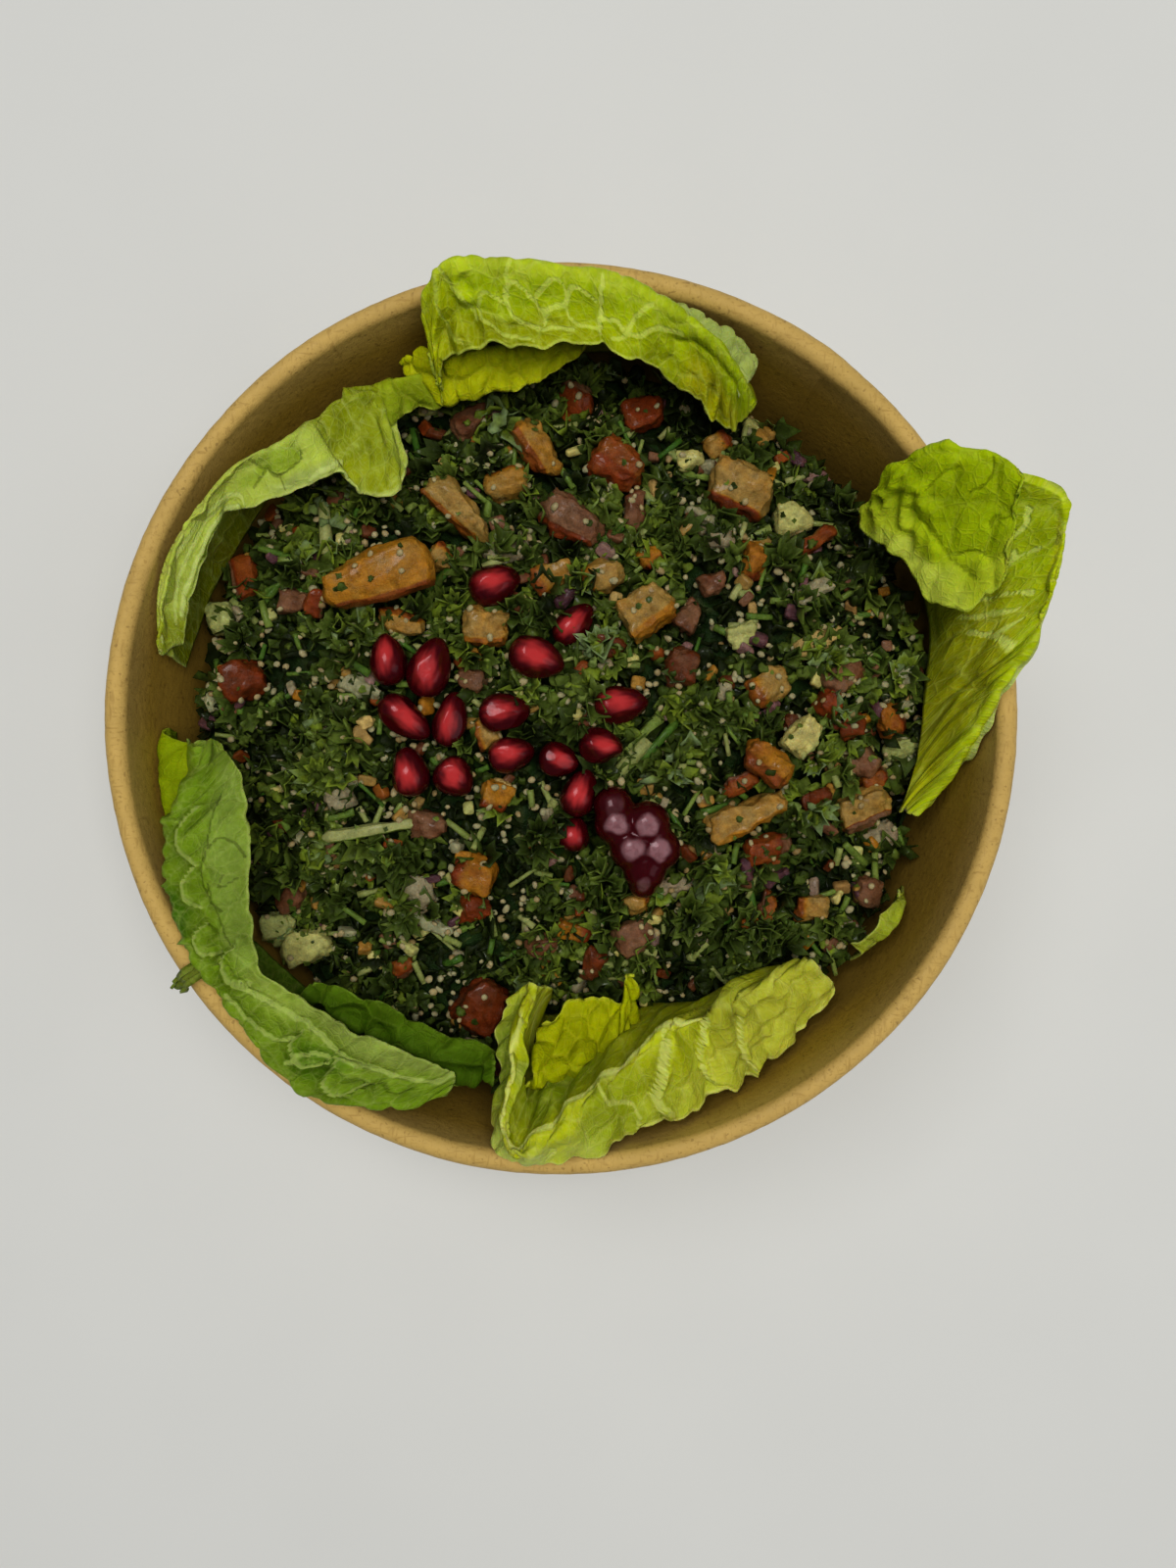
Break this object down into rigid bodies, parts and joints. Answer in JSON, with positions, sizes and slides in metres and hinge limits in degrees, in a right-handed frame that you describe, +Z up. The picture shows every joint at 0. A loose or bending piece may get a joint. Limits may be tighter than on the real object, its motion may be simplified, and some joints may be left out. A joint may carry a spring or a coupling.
{
  "type": "tabbouleh salad",
  "caption": "Tabbouleh with cut tomato, cucumber and pomegranate seeds in a round kraft-paper bowl, with lettuce leaves stood round the wall.",
  "frame": {"origin": "the bowl's axis where it meets the surface that the bowl stands on", "axes": "+Z up along the bowl's axis, +X towards the leaf that leans over the rim, +Y towards the hooded leaf"},
  "size_m": [0.1515, 0.1498, 0.0767],
  "materials": {
    "kraft_paper": "matte brown kraft paper",
    "parsley": "moist chopped herbs and grains",
    "lettuce": "satin leaf with a pale vein network",
    "lettuce_heart": "satin yellow-green leaf",
    "pomegranate": "glossy dark red gel",
    "tomato_flesh": "wet orange-brown flesh",
    "tomato_skin": "wet red-orange skin",
    "cucumber": "wet pale flesh",
    "stem": "pale green fibrous stalk"
  },
  "bodies": {
    "root": {"bowl_base": "kraft_paper", "bowl_side": "kraft_paper", "cucumber_dice": "cucumber", "leaf_front": "lettuce_heart", "leaf_front_left": "lettuce", "leaf_left": "lettuce", "leaf_lobe": "lettuce", "leaf_right": "lettuce", "leaf_sliver": "lettuce_heart", "leaf_top": "lettuce", "parsley_stem": "stem", "salad": "parsley", "seed_01": "pomegranate", "seed_02": "pomegranate", "seed_03": "pomegranate", "seed_04": "pomegranate", "seed_05": "pomegranate", "seed_06": "pomegranate", "seed_07": "pomegranate", "seed_08": "pomegranate", "seed_09": "pomegranate", "seed_10": "pomegranate", "seed_11": "pomegranate", "seed_12": "pomegranate", "seed_13": "pomegranate", "seed_14": "pomegranate", "seed_15": "pomegranate", "seed_16": "pomegranate", "seed_clump": "pomegranate", "tomato_block": "tomato_flesh", "tomato_dice_a": "tomato_flesh", "tomato_dice_b": "tomato_flesh", "tomato_dice_c": "tomato_flesh", "tomato_dice_d": "tomato_skin", "tomato_dice_e": "tomato_flesh", "tomato_dice_f": "tomato_skin", "tomato_long": "tomato_flesh", "tomato_skin_piece": "tomato_skin", "tomato_slice": "tomato_flesh", "tomato_strip": "tomato_skin", "tomato_wedge": "tomato_flesh"}
  },
  "joints": []
}
